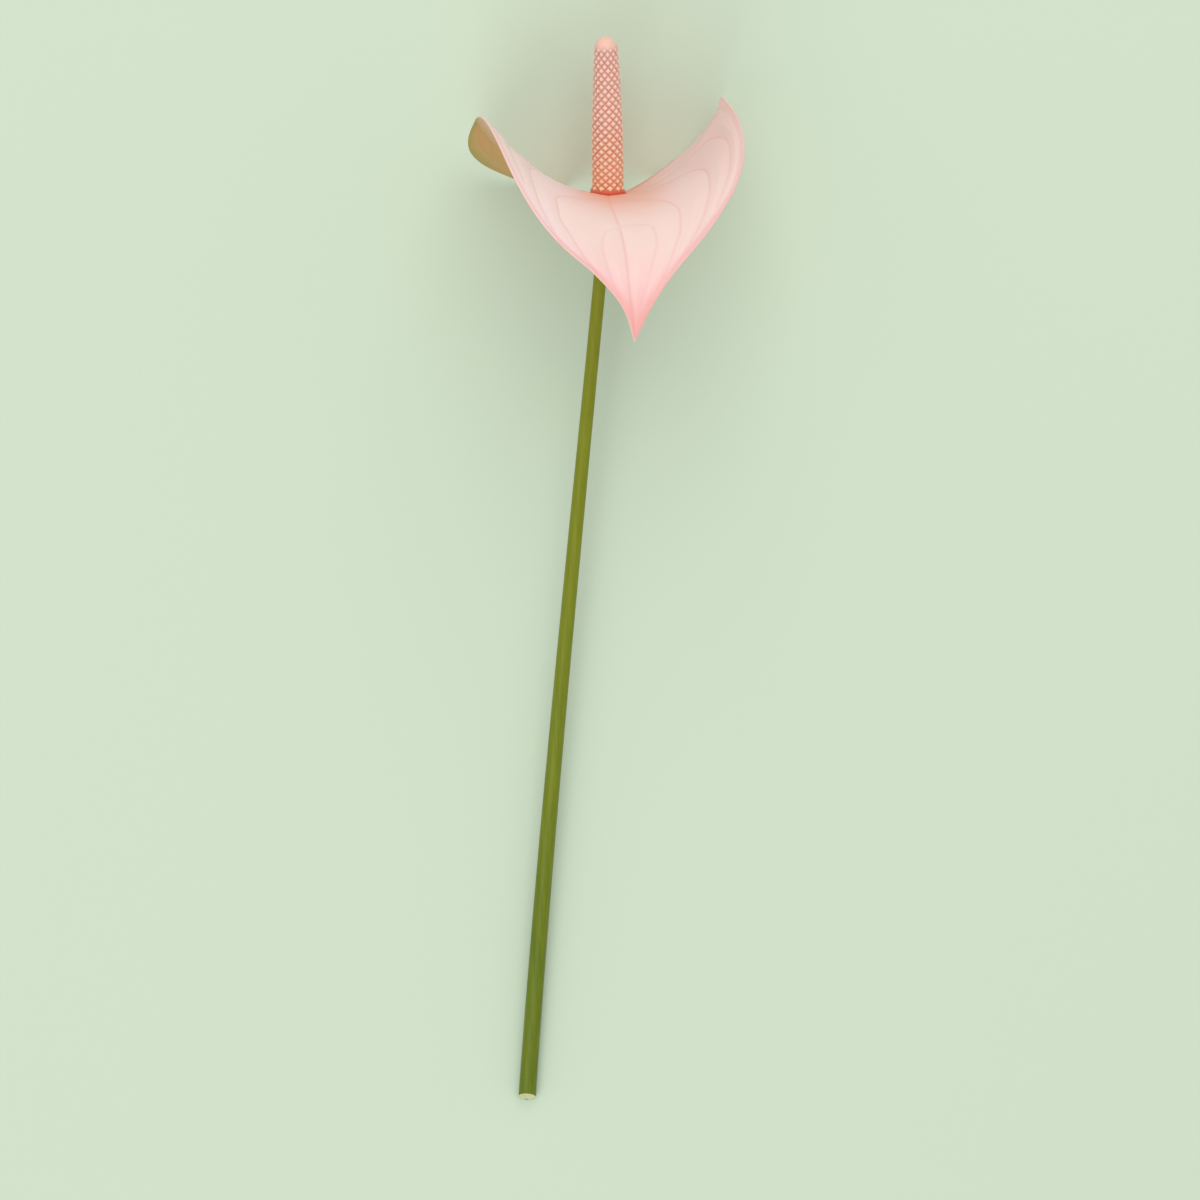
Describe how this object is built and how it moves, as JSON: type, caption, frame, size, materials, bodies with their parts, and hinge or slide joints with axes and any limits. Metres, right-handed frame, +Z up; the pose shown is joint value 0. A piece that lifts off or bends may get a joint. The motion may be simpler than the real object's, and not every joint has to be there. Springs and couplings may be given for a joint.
{
  "type": "cut anthurium stem",
  "caption": "Single cut anthurium flower lying down: pale pink heart-shaped spathe, coral spadix covered in tiny florets, slim green stalk cut slantwise.",
  "frame": {"origin": "on the surface that the flower lies on, under the centre of its bounding box", "axes": "+Z up; +Y along the stalk from its cut end to the flower; +X to the right as seen from above with the flower at the top"},
  "size_m": [0.058, 0.2417, 0.0609],
  "materials": {
    "stalk": "smooth fresh green stalk with a waxy sheen",
    "spathe": "pale pink waxy blade with a soft satin gloss",
    "spadix": "coral florets in a fine diagonal lattice, matt"
  },
  "bodies": {
    "root": {"stem": "stalk", "spathe": "spathe", "spadix": "spadix"}
  },
  "joints": []
}
